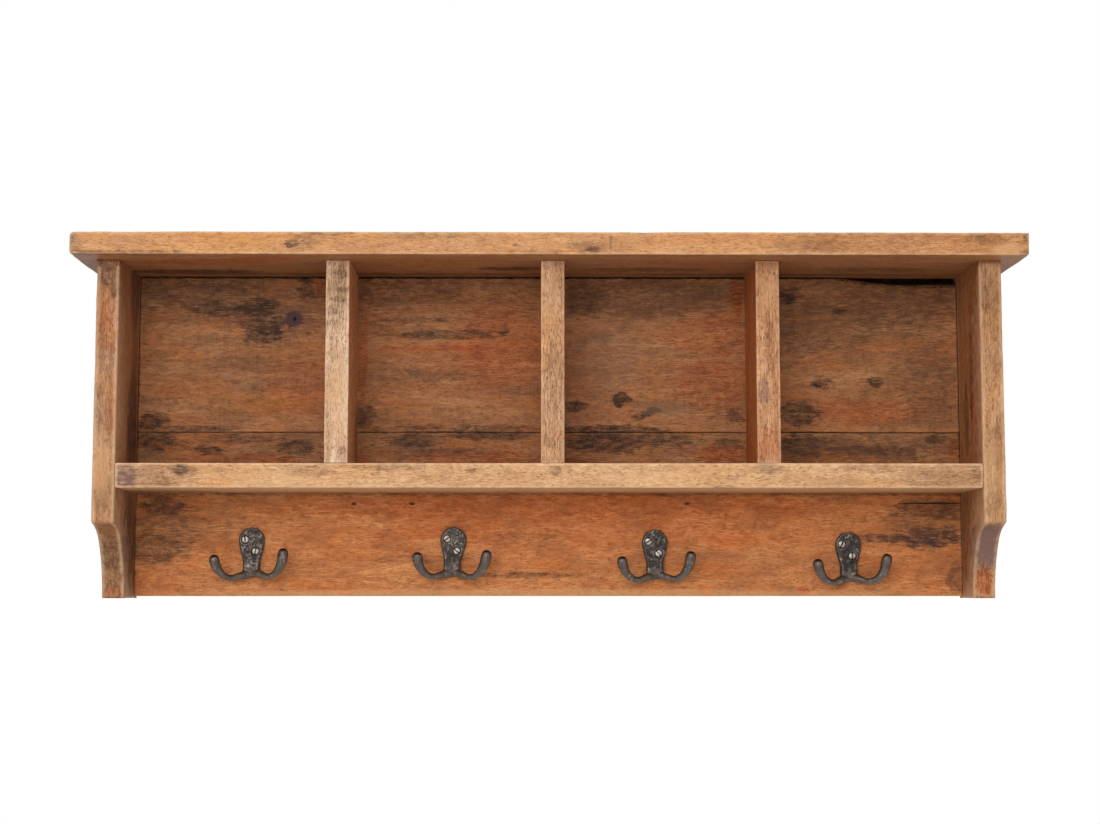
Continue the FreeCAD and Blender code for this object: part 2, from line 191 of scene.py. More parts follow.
def reclaimedWood(name, wood, stainsAndShade):
    material, add, place = newSurface(name)
    along = {"x": 0, "z": 2}[wood["grain"]]

    def spread(lengthways, across):
        return tuple(lengthways if axis == along else across for axis in range(3))

    slow = add("TexNoise", {"Vector": place, "Scale": 1 / wood.get("curl", 70), "Detail": 2})[1]
    bent = add("VectorMath", {0: slow, 1: spread(0, wood["wander"]), 2: place}, operation="MULTIPLY_ADD")[0]
    cells, masks = {}, {}
    for number, (key, (length, width, detail, low, high)) in enumerate(grainLayers.items()):
        shift = wood["seed"] * 7.3 + number * 11.7  # each layer of each board from its own stretch of noise
        drawn = add("VectorMath", {0: bent, 1: spread(1 / length, 1 / width), 2: (shift,) * 3},
                    operation="MULTIPLY_ADD")[0]
        cells[key] = add("TexNoise", {"Vector": drawn, "Scale": 1, "Detail": detail, "Roughness": 0.62})[0]
        masks[key] = add("MapRange", {0: cells[key], 1: low, 2: high, 4: wood.get(key, 0)})[0]
    masks["sawn"] = add("Math", {0: masks["sawn"], 1: masks["dull"]}, operation="MULTIPLY")[0]
    tint = toLinear(wood["body"])
    for key, tone in grainTones:
        tint = add("Mix", {0: masks[key], 6: tint, 7: toLinear(wood[tone])}, data_type="RGBA")[2]

    # front- and upward-facing surfaces stay pale, partly as sawn-through front edges and partly as painted
    # light; sides and undersides keep the old brown surface, darkened partly as painted shade
    facing = add("SeparateXYZ", {0: add("NewGeometry")["Normal"]})
    fronted = add("Math", {0: facing[1], 1: -1}, operation="MULTIPLY")[0]
    upward = add("Math", {0: facing[2], 1: wood.get("upward", 0.7)}, operation="MULTIPLY")[0]
    sandedAndLit = add("Math", {0: fronted, 1: upward}, operation="MAXIMUM")[0]
    fresh, brown = arrisWear["old"]
    old = add("MapRange", {0: sandedAndLit, 1: fresh, 2: brown, 4: wood.get("old", 0)})[0]
    tint = add("Mix", {0: old, 6: tint, 7: toLinear(wood.get("oldAndShadedTone", "ffffff"))}, data_type="RGBA",
               blend_type="MULTIPLY")[2]

    # stains, knots and bark pockets, and painted shade in corners, joints and under boards: soft blots on
    # ragged coordinates, frayed by the grain
    tears = add("TexNoise", {"Vector": bent, "Scale": 1 / blotEdge["tears"], "Detail": 5,
                             "Roughness": 0.65})[1]
    centred = add("VectorMath", {0: tears, 1: (0.5, 0.5, 0.5)}, operation="SUBTRACT")[0]
    ragged, uneven = (add("VectorMath", {0: centred, 1: spread(*blotEdge[key]), 2: place},
                          operation="MULTIPLY_ADD")[0] for key in ("ragged", "uneven"))
    frayed = add("Math", {0: cells["speck"], 1: blotEdge["speckFray"], 2: blotEdge["frayMiddle"]},
                 operation="MULTIPLY_ADD")[0]
    frayed = add("Math", {0: cells["fibre"], 1: blotEdge["fibreFray"], 2: frayed},
                 operation="MULTIPLY_ADD")[0]
    through = 1.0
    begin, full = blotEdge["fade"]
    for key, low, high, least, most in blotBreaks:
        share = add("MapRange", {0: cells[key], 1: low, 2: high, 3: least, 4: most})[0]
        through = add("Math", {0: through, 1: share}, operation="MULTIPLY")[0]
    for colour, strength, *where in stainsAndShade:
        if len(where) == 4:  # a mark of the front face alone: x, z, half its width and half its height
            (x, z, wide, high), (y, deep) = where, wood["face"]
            where = (x, y, z), (wide, deep, high)
        centre, radii = where  # a radius of 0 runs on without end
        inverse = [1 / r if r else 0 for r in radii]
        offset = [-c * i for c, i in zip(centre, inverse)]
        least = min(r for r in radii if r)
        source = place if least < 3 or strength > 1 else uneven if least < 8 else ragged  # above 1, crisp
        away = add("VectorMath", {0: source, 1: inverse, 2: offset}, operation="MULTIPLY_ADD")[0]
        reach = add("VectorMath", {0: away}, operation="LENGTH")["Value"]
        torn = add("Math", {0: reach, 1: frayed}, operation="ADD")[0]
        blot = add("MapRange", {0: torn, 1: begin, 2: full, 4: strength}, interpolation_type="SMOOTHSTEP")[0]
        blot = add("Math", {0: blot, 1: through}, operation="MULTIPLY", use_clamp=True)[0]
        glaze = colour in glazeColours
        tint = add("Mix", {0: blot, 6: tint, 7: toLinear((glazeColours if glaze else stainAndShadeColours)[colour])},
                   data_type="RGBA", blend_type="COLOR" if glaze else "MIX")[2]

    # arrises rubbed pale where hands and sandpaper reach
    edge = add("Attribute", attribute_name="arris")["Fac"]
    patchy = add("TexNoise", {"Vector": place, "Scale": 1 / arrisWear["patch"], "Detail": 4})[0]
    rubbed = add("Math", {0: patchy, 1: arrisWear["patchShare"], 2: edge}, operation="MULTIPLY_ADD")[0]
    begin, full = arrisWear["rubbed"]
    worn = add("MapRange", {0: rubbed, 1: begin, 2: full, 4: wood["worn"]})[0]
    tint = add("Mix", {0: worn, 6: tint, 7: toLinear(wood["rubbed"])}, data_type="RGBA")[2]

    relief = add("Math", {0: masks["fibre"], 1: masks["pore"]}, operation="ADD")[0]
    rough = add("MapRange", {0: relief, 2: 1.5, 3: 0.50, 4: 0.74})[0]
    bump = add("Bump", {"Height": relief, "Strength": 0.35, "Distance": 0.5 * mm}, invert=True)[0]
    shader = add("BsdfPrincipled", {"Base Color": tint, "Roughness": rough, "Normal": bump,
                                    "IOR": 1.46, "Specular IOR Level": 0.15})  # wax that has sunk in
    add("OutputMaterial", {"Surface": shader[0]})
    return material


# planed boards: a lattice of points, denser at the arrises, which are rounded by a changing radius
planing = {"nearRows": (0, 0.1, 0.25, 0.45, 0.7),  # shares of the worn margin
           "arrisWaves": ((22, 0.55), (7, 0.3)), "faceWaves": ((45, 0.12), (9, 0.08)),  # mm apart, strength
           "chipWave": 5, "chipRough": 0.5, "chipFade": 1.3, "waneWave": 20, "faceDrop": 0.15,
           "leastArris": 0.3, "mostArris": 0.45,  # mm, and a share of the thinnest side
           "wearReach": 7, "softReach": 6, "softDeep": 2, "waneReach": 26}


def boardMesh(box, cut):
    lo, hi = (np.array(corner) for corner in box)
    hi[2] += cut.get("tuck", 0) * mm  # reaches into the board above, so that no light leaks in
    seed, worn = cut["seed"], cut["worn"] * mm
    near = worn * np.array(planing["nearRows"])
    rows = []
    for axis in range(3):
        count = max(2, int(round((hi[axis] - lo[axis] - 2 * worn) / (cut["step"] * mm))) + 1)
        middle = np.linspace(lo[axis] + worn, hi[axis] - worn, count)
        rows.append(np.concatenate([lo[axis] + near, middle, (hi[axis] - near)[::-1]]))
    n = [len(row) for row in rows]
    quads = []
    for axis in range(3):
        u, v = (axis + 1) % 3, (axis + 2) % 3
        iu, iv = np.meshgrid(np.arange(n[u] - 1), np.arange(n[v] - 1), indexing="ij")
        for end in (0, n[axis] - 1):
            corners = []
            for du, dv in ((0, 0), (1, 0), (1, 1), (0, 1)):
                index = np.zeros(iu.shape + (3,), dtype=np.int64)
                index[..., axis], index[..., u], index[..., v] = end, iu + du, iv + dv
                corners.append((index[..., 0] * n[1] + index[..., 1]) * n[2] + index[..., 2])
            quad = np.stack(corners, -1).reshape(-1, 4)
            quads.append(quad if end else quad[:, ::-1])
    used, faces = np.unique(np.concatenate(quads), return_inverse=True)
    points = np.stack([rows[0][used // (n[1] * n[2])], rows[1][used // n[2] % n[1]], rows[2][used % n[2]]],
                      axis=-1)

    gaps = np.sort(np.concatenate([points - lo, hi - points], axis=1), axis=1)
    arris = np.clip(1 - gaps[:, 1] / (planing["wearReach"] * mm), 0, 1)
    radius = cut["arris"] * mm * (1 + waves(points, planing["arrisWaves"], seed))
    for z, extra in cut.get("softer", ()):  # front edges worn more than the rest
        ahead = np.clip(((lo[1] + hi[1]) / 2 - points[:, 1]) / (planing["softDeep"] * mm), 0, 1)
        radius += extra * mm * ahead * np.exp(-((points[:, 2] - z * mm) / (planing["softReach"] * mm)) ** 2)
    for x, z, size, depth in cut.get("chips", ()):
        away = np.linalg.norm(points - np.array([x * mm, lo[1], z * mm]), axis=1) / (size * mm)
        rough = 1 + planing["chipRough"] * ripple(points, planing["chipWave"], seed + 5)
        radius += depth * mm * np.clip(planing["chipFade"] - away, 0, 1) * rough
    most = np.minimum(worn, (hi - lo).min() * planing["mostArris"])
    radius = np.clip(radius, planing["leastArris"] * mm, most)[:, None]
    inner = np.clip(points, lo + radius, hi - radius)
    out = points - inner
    length = np.linalg.norm(out, axis=1)[:, None]
    out = np.where(length > 1e-9, out / np.maximum(length, 1e-9), 0)
    hand = planing["faceDrop"] + waves(points, planing["faceWaves"], seed + 2)
    points = inner + out * (radius - hand[:, None] * mm)
    if "wane" in cut:  # the waney stretch of a top edge, where the bark came away
        wane = cut["wane"]
        share = (points[:, 0] / mm - wane["start"]) / wane["rise"]
        rough = wane["rough"] * np.clip(share, 0, 1) * ripple(points, planing["waneWave"], seed + 4)
        depth = np.clip((points[:, 1] / mm - wane["back"]) / (lo[1] / mm - wane["back"]), 0, 1)
        height = np.clip(1 - (hi[2] - points[:, 2]) / (planing["waneReach"] * mm), 0, 1)
        points[:, 2] -= (wane["drop"] * eased(share) + rough) * mm * depth * height
    return newMesh(points, faces.reshape(-1, 4), arris)


# side panels: the scooped outline swept across the thickness, its arrises rounded by a changing radius
panelShape = {"scoopDepth": 56, "scoopHeight": 77, "tightness": 0.8, "nose": 5, "step": 4, "sharpArris": 0.4,
              "arris": 1.3, "arrisRange": (0.3, 6), "arrisWaves": ((20, 0.5), (6, 0.35)),
              "faceWave": (30, 0.12), "faceWear": 0.35, "wallFade": (4, 8), "topFade": (2, 6),
              "arcRows": (7, 20, 22), "turns": (0, 22.5, 45, 67.5, 90), "rows": (0.25, 0.4, 0.6, 0.75)}


def panelOutline(front, back, foot, top):
    def arc(centre, radius, start, end, count):
        turns = np.linspace(start, end, count)
        return [centre + radius * np.array([math.cos(a), math.sin(a)]) for a in turns]

    deep, high, nose = (panelShape[key] for key in ("scoopDepth", "scoopHeight", "nose"))
    upper = panelShape["tightness"] * deep
    lower = (deep ** 2 + high ** 2 - 2 * high * upper) / (2 * (deep - upper))
    upperCentre = np.array([front, foot + high - upper])
    lowerCentre = np.array([front + deep - lower, foot])
    heading = math.atan2(upperCentre[1] - lowerCentre[1], upperCentre[0] - lowerCentre[0])
    start = math.acos(nose / upper)
    noseCentre = np.array([front + nose, upperCentre[1] + upper * math.sin(start) + nose])
    noseRows, upperRows, lowerRows = panelShape["arcRows"]
    runs = [[(front, top), (front, noseCentre[1])],
            arc(noseCentre, nose, math.pi, 1.5 * math.pi, noseRows),
            arc(upperCentre, upper, start, heading, upperRows),
            arc(lowerCentre, lower, heading, 0, lowerRows),
            [(front + deep, foot), (back, foot)], [(back, foot), (back, top)], [(back, top), (front, top)]]
    loop = []
    for run in runs:
        for a, b in zip(run, run[1:]):
            a, b = np.array(a), np.array(b)
            count = max(1, int(np.linalg.norm(b - a) / panelShape["step"]))
            loop += [between(a, b, i / count) for i in range(count)]
    loop = np.array(loop)
    loop = loop[np.linalg.norm(loop - np.roll(loop, 1, axis=0), axis=1) > 0.05]  # no point twice
    ahead = np.roll(loop, -1, axis=0) - loop
    ahead /= np.linalg.norm(ahead, axis=1)[:, None]
    inward = np.stack([-ahead[:, 1], ahead[:, 0]], -1)
    inward = inward + np.roll(inward, 1, axis=0)
    return loop, inward / np.linalg.norm(inward, axis=1)[:, None]


def panelMesh(box, seed, chips):
    (x0, front, foot), (x1, back, top) = [[round(float(v) / mm, 3) for v in corner] for corner in box]
    loop, inward = panelOutline(front, back, foot, top)
    line = np.concatenate([np.zeros((len(loop), 1)), loop], axis=1) * mm
    turns = np.radians(panelShape["turns"])
    plan = [(x0, 1, turn) for turn in turns] + [(between(x0, x1, s), 0, 0) for s in panelShape["rows"]]
    plan += [(x1, -1, turn) for turn in turns[::-1]]
    (wallStart, wallFade), (topStart, topFade) = panelShape["wallFade"], panelShape["topFade"]
    exposed = np.clip((-wallStart - loop[:, 0]) / wallFade, 0, 1)  # no wear at the wall or under the top
    exposed *= np.clip((top - topStart - loop[:, 1]) / topFade, 0, 1)
    faceWave, faceShare = panelShape["faceWave"]
    rings, wear = [], []
    for x, side, turn in plan:
        spot = line + np.array([x * mm, 0, 0])
        away = waves(spot, panelShape["arrisWaves"], seed)
        radius = panelShape["sharpArris"] + panelShape["arris"] * (1 + away) * exposed
        for y, z, size, depth in chips:
            gap = np.hypot(loop[:, 0] - y, loop[:, 1] - z) / size
            radius = radius + depth * np.clip(planing["chipFade"] - gap, 0, 1)
        radius = abs(side) * np.clip(radius, *panelShape["arrisRange"])
        inset = faceShare * (1 + ripple(spot, faceWave, seed + 2)) * exposed + radius * (1 - math.sin(turn))
        flat = loop + inward * inset[:, None]
        rings.append(np.stack([x + side * radius * (1 - math.cos(turn)), flat[:, 0], flat[:, 1]], -1) * mm)
        wear.append((1.0 if side else panelShape["faceWear"]) * exposed)
    count = len(loop)
    faces = []
    for start in range(0, (len(rings) - 1) * count, count):
        for i in range(count):
            j = (i + 1) % count
            faces.append((start + i, start + count + i, start + count + j, start + j))
    last = (len(rings) - 1) * count
    faces += [tuple(range(count)), tuple(last + i for i in reversed(range(count)))]
    mesh = newMesh(np.concatenate(rings), faces, np.concatenate(wear))
    work = bmesh.new()
    work.from_mesh(mesh)
    bmesh.ops.triangulate(work, faces=[f for f in work.faces if len(f.verts) > 4])
    bmesh.ops.recalc_face_normals(work, faces=work.faces)
    work.to_mesh(mesh)
    work.free()
    mesh.shade_smooth()
    return mesh


topBoard = {
    "wood": {"grain": "x", "seed": 1, "wander": 9, "curl": 42, "face": (-150, 9),
             "body": "cb9362", "pale": "deab79", "honey": "d29252", "ash": "ae815e", "deep": "9e6a45",
             "dark": "764b33", "rubbed": "e6bc92", "worn": 0.5, "old": 1, "oldAndShadedTone": "d3cbcd", "upward": 0.8,
             "figure": 0.75, "warm": 0.6, "dull": 0.52, "mottle": 0.45, "fibre": 0.35, "pore": 0.6,
             "speck": 0.6},
    "stainsAndShade": [
        ("soot", 0.85, (-390, -44, 51), (80, 15, 4)), ("honey", 0.8, (-140, -100, 51), (80, 26, 4)),
        ("bark", 0.6, (110, -60, 51), (70, 14, 3.2)), ("rust", 0.9, (-370, -105, 51), (70, 18, 4)),
        # painted reflected light: the greyish mauve blot under the left overhang at x −488
        ("mauve", 0.7, (-488, -110, 51), (16, 70, 4)), ("rust", 0.6, (150, -100, 51), (60, 12, 3.2)),
        ("bark", 0.5, (360, -60, 51), (70, 18, 3.2)), ("soot", 0.95, (-42, -66, 51), (40, 12, 4)),
        # painted shade: the two long bark bands at y −30 darken the underside along the back boards
        ("bark", 0.6, (-200, -30, 51), (240, 9, 3.2)), ("bark", 0.6, (250, -30, 51), (200, 9, 3.2)),
        ("rust", 0.7, (-300, -120, 51), (40, 14, 3.2)), ("umber", 0.75, -440, 52, 70, 3.2),
        ("ash", 0.6, -494, 64, 9, 14), ("plum", 0.8, -269, 62, 8.5, 5), ("umber", 0.4, -258, 65, 22, 8.5),
        ("umber", 0.6, -230, 73.5, 28, 3.1), ("umber", 0.35, -130, 72, 50, 5),
        ("umber", 0.75, -36, 61, 3.4, 1.7), ("plum", 0.95, 45, 56, 9, 4.2), ("umber", 0.45, 42, 58, 24, 7),
        ("umber", 0.5, 63, 62, 1.4, 9), ("soot", 0.75, 98, 75, 20, 2.4), ("honey", 0.3, -345, 62, 50, 14),
        ("tan", 0.5, 390, 63, 120, 20), ("umber", 0.25, 370, 63, 150, 22), ("umber", 0.35, 285, 63, 28, 10),
        ("umber", 0.4, 452, 68, 26, 6), ("bark", 0.6, 498, 70, 5, 9), ("straw", 0.5, 478, 57, 18, 7),
        ("bark", 0.5, 497, 54, 8, 3.2), ("tan", 0.5, 180, 68, 70, 9), ("umber", 0.3, -20, 53, 40, 3.2)],
    "cut": {"seed": 11, "arris": 1.5, "worn": 4.5, "step": 5,
            "chips": [(97, 75, 13, 2.4), (-500, 66, 20, 3.2), (-440, 51, 70, 1.8), (112, 75, 5, 2.0),
                      (300, 75, 9, 1.2), (500, 56, 9, 2.0), (-180, 51, 12, 1.4), (380, 51, 10, 1.2)]},
}
addPiece("topPlank", boardMesh(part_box("top_board"), topBoard["cut"]),
         reclaimedWood("hardwood top, sawn and waxed", topBoard["wood"], topBoard["stainsAndShade"]),
         "top_board")

cubbyShelf = {
    "wood": {"grain": "x", "seed": 2, "wander": 9, "curl": 42, "face": (-117, 9),
             "body": "cf9f72", "pale": "e5bb8e", "honey": "d49a60", "ash": "ad8361", "deep": "a1704b",
             "dark": "714a32", "rubbed": "ecc69f", "worn": 0.6, "figure": 0.85, "warm": 0.5, "dull": 0.55,
             "mottle": 0.5, "fibre": 0.38, "pore": 0.65, "speck": 0.65},
    "stainsAndShade": [
        # painted shade: the two bark blots on the underside darken it towards the back and the left
        ("bark", 0.4, (0, -16, -190), (0, 32, 3.2)), ("bark", 0.5, (-420, -30, -190), (70, 50, 3.2)),
        ("mauve", 1.2, -444, -178, 15, 12), ("plum", 0.9, -385, -171, 7.5, 7.5),
        ("honey", 0.6, -345, -184, 16, 5), ("umber", 0.5, -380, -171, 14, 6),
        ("umber", 0.5, -420, -188, 34, 3.2), ("umber", 0.65, -84, -172, 7, 3.2),
        ("umber", 0.7, 5, -172, 7, 6), ("umber", 0.4, -410, -176, 40, 12), ("straw", 0.35, -300, -181, 60, 8),
        ("straw", 0.35, 110, -180, 70, 8), ("ash", 0.6, 228, -170, 16, 7), ("umber", 0.35, 410, -178, 50, 11),
        ("umber", 0.3, 330, -170, 34, 5), ("bark", 0.6, 182, -189, 14, 2), ("umber", 0.4, -170, -168, 46, 4),
        ("plum", 0.4, 447, -176, 8, 12), ("umber", 0.35, -250, -172, 30, 6)],
    "cut": {"seed": 21, "arris": 1.1, "worn": 3.5, "step": 5, "softer": [(-190, 1.0)],
            "chips": [(182, -190, 10, 1.6), (-150, -190, 8, 1.2), (330, -164, 7, 1.0)]},
}
addPiece("shelfPlank", boardMesh(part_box("cubby_shelf"), cubbyShelf["cut"]),
         reclaimedWood("hardwood shelf, sawn and waxed", cubbyShelf["wood"], cubbyShelf["stainsAndShade"]),
         "cubby_shelf")

dividers = {
    "left_divider": {
        "wood": {"body": "d0ab89", "pale": "eed1b4", "honey": "d09f6f", "ash": "a68569", "deep": "996c4e",
                 "dark": "61422d", "oldAndShadedTone": "ffe4ca"},
        "stainsAndShade": [
            ("umber", 0.35, -224, 14, 13, 34), ("bark", 0.5, -221, 36, 9, 5),
            ("bark", 0.55, -219, 19, 8, 3.2), ("bark", 0.5, -223, 9, 11, 3.4), ("bark", 0.5, -230, -4, 7, 4),
            ("umber", 0.5, -228, -18, 8, 5), ("straw", 0.4, -222, -90, 11, 50),
            ("umber", 0.5, -217, -152, 6, 6), ("rust", 0.35, (-211.5, -70, -30), (2.6, 36, 110)),
            ("bark", 0.5, (-211.5, -30, -134), (2.6, 24, 40))],
        "chips": [(-222, 40, 12, 1.6), (-236, -20, 9, 1.4)]},
    "middle_divider": {
        "wood": {"body": "c3936b", "pale": "e3b78f", "honey": "c98d54", "ash": "9b7251", "deep": "8f5d3b",
                 "dark": "593824", "oldAndShadedTone": "ffd6b0"},
        "stainsAndShade": [
            ("umber", 0.35, 4, -80, 12, 44), ("straw", 0.3, 0, 10, 11, 34), ("tan", 0.5, -4, -40, 6, 30),
            ("umber", 0.5, 1, -140, 8, 8)],
        "chips": [(15, -90, 8, 1.2)]},
    "right_divider": {
        "wood": {"body": "c28b62", "pale": "e5b386", "honey": "ca8047", "ash": "996c4c", "deep": "8b5230",
                 "dark": "57331f", "oldAndShadedTone": "eec6a3"},
        "stainsAndShade": [
            ("rust", 0.6, 229, -131, 16, 1.1), ("mauve", 0.6, 225, -88, 7, 14),
            ("umber", 0.3, 231, -40, 7, 36), ("rust", 0.45, 228, -146, 13, 14),
            ("straw", 0.3, 230, 20, 11, 24)],
        "chips": [(218, -60, 8, 1.2)]},
}
for number, (node, divider) in enumerate(dividers.items()):
    wood = dict(divider["wood"], grain="z", seed=5 + number, wander=6, face=(-117, 9), rubbed="efcfae",
                worn=0.3, old=1, figure=0.8, warm=0.5, dull=0.42, mottle=0.35, fibre=0.5, pore=0.8,
                speck=0.75)
    cut = {"seed": 31 + number * 7, "arris": 1.0, "worn": 3, "step": 5, "chips": divider["chips"]}
    side = node.split("_")[0]
    addPiece(side + "DividerPlank", boardMesh(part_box(node), cut),
             reclaimedWood("hardwood " + side + " divider, sawn and waxed", wood, divider["stainsAndShade"]),
             node)
print("top, shelf and dividers built")


nailPits = {"wide": 2.6, "high": 1.1, "deep": 1.7,  # half the width and height, and the depth
            "upper": [(x, z) for x in (-224, 3, 230) for z in (-89, 17)],
            "middle": [(x, -177) for x in (-340.5, -113.5, 113.5, 340.5)], "hook": []}
backBoards = {
    "upper_back_board": {
        "wood": {"seed": 9, "body": "ad734a", "pale": "c48c5c", "honey": "b36a34", "ash": "876141",
                 "deep": "72482e", "dark": "4f311f", "worn": 0.2, "figure": 0.75, "warm": 0.7, "dull": 0.65,
                 "mottle": 0.45, "fibre": 0.5, "pore": 0.55, "speck": 0.45, "sawn": 0.55},
        "stainsAndShade": [
            # painted shade: the full-width umber blot at z 50 darkens the board towards the top, under the
            # top board
            # painted shade: the soot lines at x ±454 darken the corners by the side panels
            ("soot", 0.75, -454, 0, 1.7, 0), ("soot", 0.75, 454, 0, 1.7, 0), ("umber", 0.35, 0, 50, 0, 52),
            ("bark", 0.5, -390, 38, 70, 18), ("umber", 0.4, -360, 16, 95, 22),
            ("soot", 0.7, -364, 14, 42, 8.5), ("soot", 0.95, -323, 15, 23, 13),
            ("soot", 0.95, -317, -12, 24, 15), ("bark", 0.55, -326, 3, 30, 13),
            ("soot", 0.85, -302, -4, 10, 10), ("umber", 0.6, -276, -4, 20, 16),
            ("knot", 1.9, -283, 3, 11, 10), ("gap", 2, -282.5, 3.2, 2, 2.9), ("soot", 0.8, -269, 36, 12, 17),
            ("rust", 0.9, -253, 38, 7, 14), ("rust", 0.5, -275, -72, 50, 34),
            ("honey", 0.5, -330, -92, 70, 14), ("soot", 0.9, -438, -112, 24, 12),
            ("bark", 0.7, -385, -119, 44, 4), ("umber", 0.4, -330, -50, 60, 10),
            ("bark", 0.45, -160, 34, 70, 18), ("rust", 0.7, -50, -28, 60, 50),
            ("bark", 0.75, -112, -14, 74, 6), ("soot", 0.7, -50, -10, 7, 5), ("bark", 0.5, -150, 2, 40, 4),
            ("red", 0.7, -120, -29, 80, 3), ("rust", 0.7, -207, -40, 6, 60),
            ("bark", 0.85, -203, -106, 11, 16), ("soot", 0.7, -100, -119, 100, 5),
            ("umber", 0.5, -120, -60, 60, 8), ("umber", 0.65, 113, 28, 105, 22),
            ("bark", 0.5, 40, 28, 26, 22), ("rust", 1.0, 211, 28, 8, 24), ("rust", 0.6, 180, -15, 48, 26),
            ("rust", 0.6, 180, -70, 44, 34), ("ash", 0.35, 60, -40, 46, 40), ("soot", 0.95, 78, -87, 11, 9),
            ("soot", 0.85, 27, -94, 12, 8), ("soot", 0.9, 99, -106, 9, 3.4), ("soot", 0.9, 108, -102, 9, 3.4),
            ("soot", 0.9, 117, -98, 8, 3.2), ("bark", 0.75, 205, -104, 10, 9),
            ("soot", 0.95, 70, -121, 66, 7), ("ash", 0.5, 130, -96, 36, 9), ("umber", 0.8, 390, 20, 75, 34),
            ("umber", 0.7, 300, -5, 70, 34), ("soot", 0.9, 266, 31, 15, 10), ("soot", 0.8, 323, 13, 9, 5),
            ("soot", 0.9, 303, -70, 12, 8), ("soot", 0.9, 363, -67, 9.5, 6.5),
            ("soot", 0.85, 276, -102, 26, 15), ("umber", 0.55, 420, -60, 40, 50),
            ("rust", 0.6, 350, -100, 70, 14), ("bark", 0.7, 0, -123, 0, 1.1),
            ("gap", 1.5, -110, -123, 80, 1.3), ("gap", 1.5, 70, -123, 66, 1.5),
            # painted shade: the near-black gap line at z 51 under the top board, and the gap blot in the
            # wane's pocket
            ("gap", 1.4, 285, -123, 40, 1.1), ("gap", 4, 0, 51, 0, 2.3),
            ("gap", 4, (440, -12, 53), (125, 8, 12.5))],
        "cut": {"seed": 51, "arris": 0.9, "worn": 4, "step": 6, "tuck": 0.8,
                "softer": [(51.8, 3.0), (-123, 0.35)],
                "wane": {"start": 305, "rise": 85, "drop": 10.5, "rough": 0.8, "back": -3}}},
    "middle_back_board": {
        "wood": {"seed": 10, "body": "a16d46", "pale": "ba8458", "honey": "ad652f", "ash": "72543e",
                 "deep": "66422a", "dark": "432a1b", "worn": 0, "figure": 0.8, "warm": 0.7, "dull": 0.7,
                 "mottle": 0.5, "fibre": 0.5, "pore": 0.6, "speck": 0.5, "sawn": 0.3},
        "stainsAndShade": [
            # painted shade: the soot lines at x ±454 darken the corners by the side panels
            ("soot", 0.75, -454, 0, 1.6, 0), ("soot", 0.75, 454, 0, 1.6, 0),
            ("soot", 0.9, -432, -134, 28, 10), ("soot", 0.85, -376, -143, 18, 6),
            ("bark", 0.6, -340, -130, 40, 6), ("soot", 0.9, -279, -140, 22, 11),
            ("rust", 0.7, -340, -154, 70, 9), ("soot", 0.9, -150, -132, 32, 9),
            ("bark", 0.85, -66, -127, 56, 5), ("red", 0.9, -208, -155, 9, 6),
            ("bark", 0.6, -120, -146, 50, 5), ("rust", 0.6, -90, -152, 70, 9),
            ("soot", 0.95, 60, -134, 48, 14), ("bark", 0.8, 130, -132, 40, 9),
            ("rust", 0.95, 190, -149, 34, 12), ("bark", 0.6, 196, -136, 18, 7),
            ("rust", 0.8, 28, -157, 20, 6), ("soot", 0.9, 284, -137, 36, 13),
            ("plum", 0.85, 358, -143, 52, 7), ("rust", 0.85, 448, -140, 7, 14),
            ("soot", 0.7, 427, -131, 14, 7), ("honey", 0.6, 340, -157, 90, 5),
            ("umber", 0.5, 350, -140, 100, 16), ("bark", 0.7, 0, -123, 0, 1.1)],
        "cut": {"seed": 61, "arris": 0.3, "worn": 3.5, "step": 6, "softer": [(-123, 0.5)]}},
    "hook_board": {
        "wood": {"seed": 12, "body": "ca824d", "pale": "dd9960", "honey": "c66c2d", "ash": "a16943",
                 "deep": "98552e", "dark": "6e3c20", "worn": 0.12, "figure": 0.85, "warm": 0.6, "dull": 0.75,
                 "mottle": 0.6, "fibre": 0.5, "pore": 0.6, "speck": 0.45},
        "stainsAndShade": [
            # painted shade: the soot lines at x ±454 darken the corners by the side panels
            ("soot", 0.75, -454, 0, 1.6, 0), ("soot", 0.75, 454, 0, 1.6, 0),
            ("umber", 0.55, -424, -228, 40, 44), ("bark", 0.6, -422, -206, 28, 13),
            ("bark", 0.6, -427, -251, 38, 17), ("umber", 0.35, -370, -230, 40, 30),
            ("plum", 0.95, 415, -239, 44, 13), ("plum", 0.7, 424, -240, 34, 9),
            ("plum", 0.8, 362, -239, 36, 5), ("bark", 0.65, 418, -207, 46, 12),
            ("umber", 0.6, 412, -222, 52, 16), ("umber", 0.6, 446, -284, 10, 22),
            ("soot", 0.9, -214, -202, 3.2, 2), ("soot", 0.9, -151, -201.5, 3.6, 2.2),
            ("soot", 0.9, 152, -201.5, 3.4, 2.2), ("red", 0.95, 279, -297, 6, 6),
            ("rust", 0.7, 20, -206, 330, 18), ("rust", 0.4, 60, -236, 300, 16),
            ("straw", 0.4, 0, -300, 400, 5), ("bark", 0.65, -20, -280, 70, 3.4),
            ("umber", 0.4, -140, -262, 60, 5), ("umber", 0.35, -30, -240, 50, 8),
            # painted shade: the bark line at z −190, shown on the middle board's strip just under the shelf
            ("gap", 2.5, 420, -201, 36, 1.1), ("bark", 0.5, 0, -190, 0, 3.2)],
        "cut": {"seed": 71, "arris": 0.3, "worn": 3.5, "step": 6, "tuck": 0.6, "softer": [(-303, 1.4)]}},
}
backPlanks = {}
